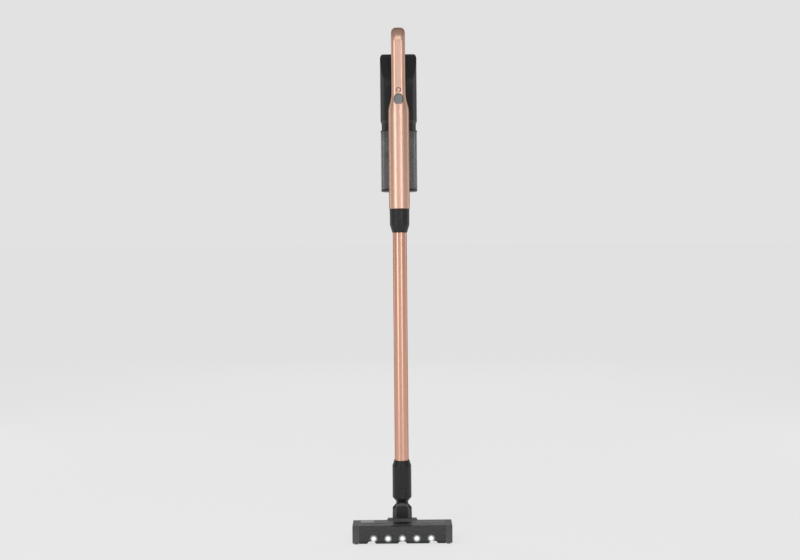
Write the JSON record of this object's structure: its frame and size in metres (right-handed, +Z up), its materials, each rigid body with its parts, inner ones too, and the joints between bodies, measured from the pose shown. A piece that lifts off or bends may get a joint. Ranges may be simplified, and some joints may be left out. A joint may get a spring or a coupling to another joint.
{
  "type": "cordless stick vacuum",
  "caption": "Cordless stick vacuum standing upright: looped handle and motor over a clear bin, slim metal wand, and a lit motor-driven floor nozzle.",
  "frame": {"origin": "on the floor, under the middle of the whole machine's bounding box as it stands upright", "axes": "+Z up along the wand, the nozzle's lit front faces -Y, +X to the right seen from the front"},
  "size_m": [0.226, 0.173, 1.1787],
  "materials": {
    "copper_shell": "metallic copper lacquer on ABS, satin gloss",
    "copper_tube": "copper anodised, fine satin",
    "black_shell": "fine texture",
    "grey_top": "satin",
    "keys": "satin",
    "soft_grip": "soft touch",
    "rubber": "plain",
    "smoked_window": "smoked clear polycarbonate",
    "clear_bin": "lightly smoked clear polycarbonate",
    "button_grey": "satin",
    "light_lens": "clear lens, lit white",
    "light_bar": "gloss",
    "mark": "printed dark",
    "plate": "plain light grey",
    "steel": "ground",
    "brush_core": "satin",
    "bristles": "nylon bristles",
    "brush_motor": "plain",
    "felt": "felt strip",
    "boards": "printed circuit board",
    "cells": "lithium cells in plastic sleeves",
    "cable": "plain",
    "mesh": "perforated",
    "cyclone": "plain",
    "filter": "pleated paper",
    "fan": "machined",
    "fan_plate": "plain",
    "motor_can": "plain"
  },
  "bodies": {
    "floor_head": {"head_base": "black_shell", "front_lip": "rubber", "sole_strip": "felt", "top_cover": "grey_top", "window": "smoked_window", "light_bar": "light_bar", "light_lenses": "light_lens", "light_board": "boards", "end_cap_left": "black_shell", "end_cap_right": "black_shell", "brush_bearings": "steel", "brush_motor": "brush_motor", "wheel_axle": "steel", "name_plate": "plate", "fold_pins": "steel"},
    "brush": {"brush_core": "brush_core", "brush_bristles": "bristles"},
    "front_roller_left": {"front_roller_left": "rubber"},
    "front_roller_right": {"front_roller_right": "rubber"},
    "rear_wheel_left": {"rear_wheel_left": "rubber"},
    "rear_wheel_right": {"rear_wheel_right": "rubber"},
    "yoke": {"swivel_yoke": "black_shell", "pivot_cover": "grey_top", "swivel_pins": "steel", "air_hose": "rubber"},
    "neck": {"neck_housing": "black_shell"},
    "nozzle_release_key": {"nozzle_release_key": "keys"},
    "wand": {"wand_tube": "copper_tube", "wand_cable": "cable"},
    "handheld": {"front_housing": "copper_shell", "handle_shell": "copper_shell", "handle_grip": "soft_grip", "mode_ring": "mark", "control_board": "boards", "battery_lights": "light_lens", "wand_collar": "black_shell", "inlet_duct": "black_shell", "battery_cells": "cells", "battery_carrier": "black_shell", "charge_socket": "cable", "dust_bin": "clear_bin", "lid_hinge_pin": "steel", "mesh_shroud": "mesh", "cyclone_cone": "cyclone", "filter_frame": "black_shell", "pre_filter": "filter", "motor_housing": "black_shell", "spine_bracket": "black_shell", "fan_inlet_plate": "fan_plate", "motor_can": "motor_can", "motor_bearings": "steel", "motor_mount": "fan_plate", "exhaust_filter": "filter"},
    "wand_release_key": {"wand_release_key": "keys"},
    "power_button": {"power_button": "button_grey"},
    "fan": {"fan_wheel": "fan", "motor_rotor": "steel"},
    "bin_lid": {"bin_lid": "black_shell", "lid_seal": "rubber"},
    "lid_latch": {"lid_latch": "keys"}
  },
  "joints": [
    {"name": "head_fold", "type": "hinge", "parent": "floor_head", "child": "yoke", "pos_m": [0, -0.0225, 0.03], "axis": [-1, 0, 0], "range_deg": [0, 80]},
    {"name": "neck_swivel", "type": "hinge", "parent": "yoke", "child": "neck", "pos_m": [0, -0.0225, 0.0676], "axis": [0, 1, 0], "range_deg": [-45, 45], "deforming": ["air_hose"]},
    {"name": "nozzle_key_press", "type": "hinge", "parent": "neck", "child": "nozzle_release_key", "pos_m": [0, -0.0425, 0.1033], "axis": [1, 0, 0], "range_deg": [0, 6], "stiffness_Nm_per_rad": 0.15, "springref_deg": -2.86},
    {"name": "wand_slide", "type": "slide", "parent": "neck", "child": "wand", "axis": [0, 0, 1], "range_m": [0, 0.066]},
    {"name": "handheld_slide", "type": "slide", "parent": "wand", "child": "handheld", "axis": [0, 0, 1], "range_m": [0, 0.05]},
    {"name": "wand_key_press", "type": "hinge", "parent": "handheld", "child": "wand_release_key", "pos_m": [0, -0.0432, 0.7415], "axis": [1, 0, 0], "range_deg": [0, 6], "stiffness_Nm_per_rad": 0.15, "springref_deg": -2.86},
    {"name": "power_press", "type": "slide", "parent": "handheld", "child": "power_button", "axis": [0, 1, 0], "range_m": [0, 0.001], "stiffness_N_per_m": 900, "springref_m": -0.001},
    {"name": "fan_spin", "type": "hinge", "parent": "handheld", "child": "fan", "pos_m": [0, 0.0395, 0.965], "axis": [0, 0, 1], "continuous": true},
    {"name": "lid_swing", "type": "hinge", "parent": "handheld", "child": "bin_lid", "pos_m": [0, 0.001, 0.8045], "axis": [-1, 0, 0], "range_deg": [0, 80]},
    {"name": "latch_press", "type": "hinge", "parent": "handheld", "child": "lid_latch", "pos_m": [0, 0.0853, 0.822], "axis": [1, 0, 0], "range_deg": [0, 8], "stiffness_Nm_per_rad": 0.15, "springref_deg": -2.86},
    {"name": "brush_spin", "type": "hinge", "parent": "floor_head", "child": "brush", "pos_m": [0, -0.064, 0.018], "axis": [1, 0, 0], "continuous": true},
    {"name": "front_roller_left_spin", "type": "hinge", "parent": "floor_head", "child": "front_roller_left", "pos_m": [-0.1045, -0.079, 0.0045], "axis": [1, 0, 0], "continuous": true},
    {"name": "rear_wheel_left_spin", "type": "hinge", "parent": "floor_head", "child": "rear_wheel_left", "pos_m": [-0.0383, 0.0145, 0.009], "axis": [1, 0, 0], "continuous": true},
    {"name": "front_roller_right_spin", "type": "hinge", "parent": "floor_head", "child": "front_roller_right", "pos_m": [0.1045, -0.079, 0.0045], "axis": [1, 0, 0], "continuous": true},
    {"name": "rear_wheel_right_spin", "type": "hinge", "parent": "floor_head", "child": "rear_wheel_right", "pos_m": [0.0383, 0.0145, 0.009], "axis": [1, 0, 0], "continuous": true}
  ]
}
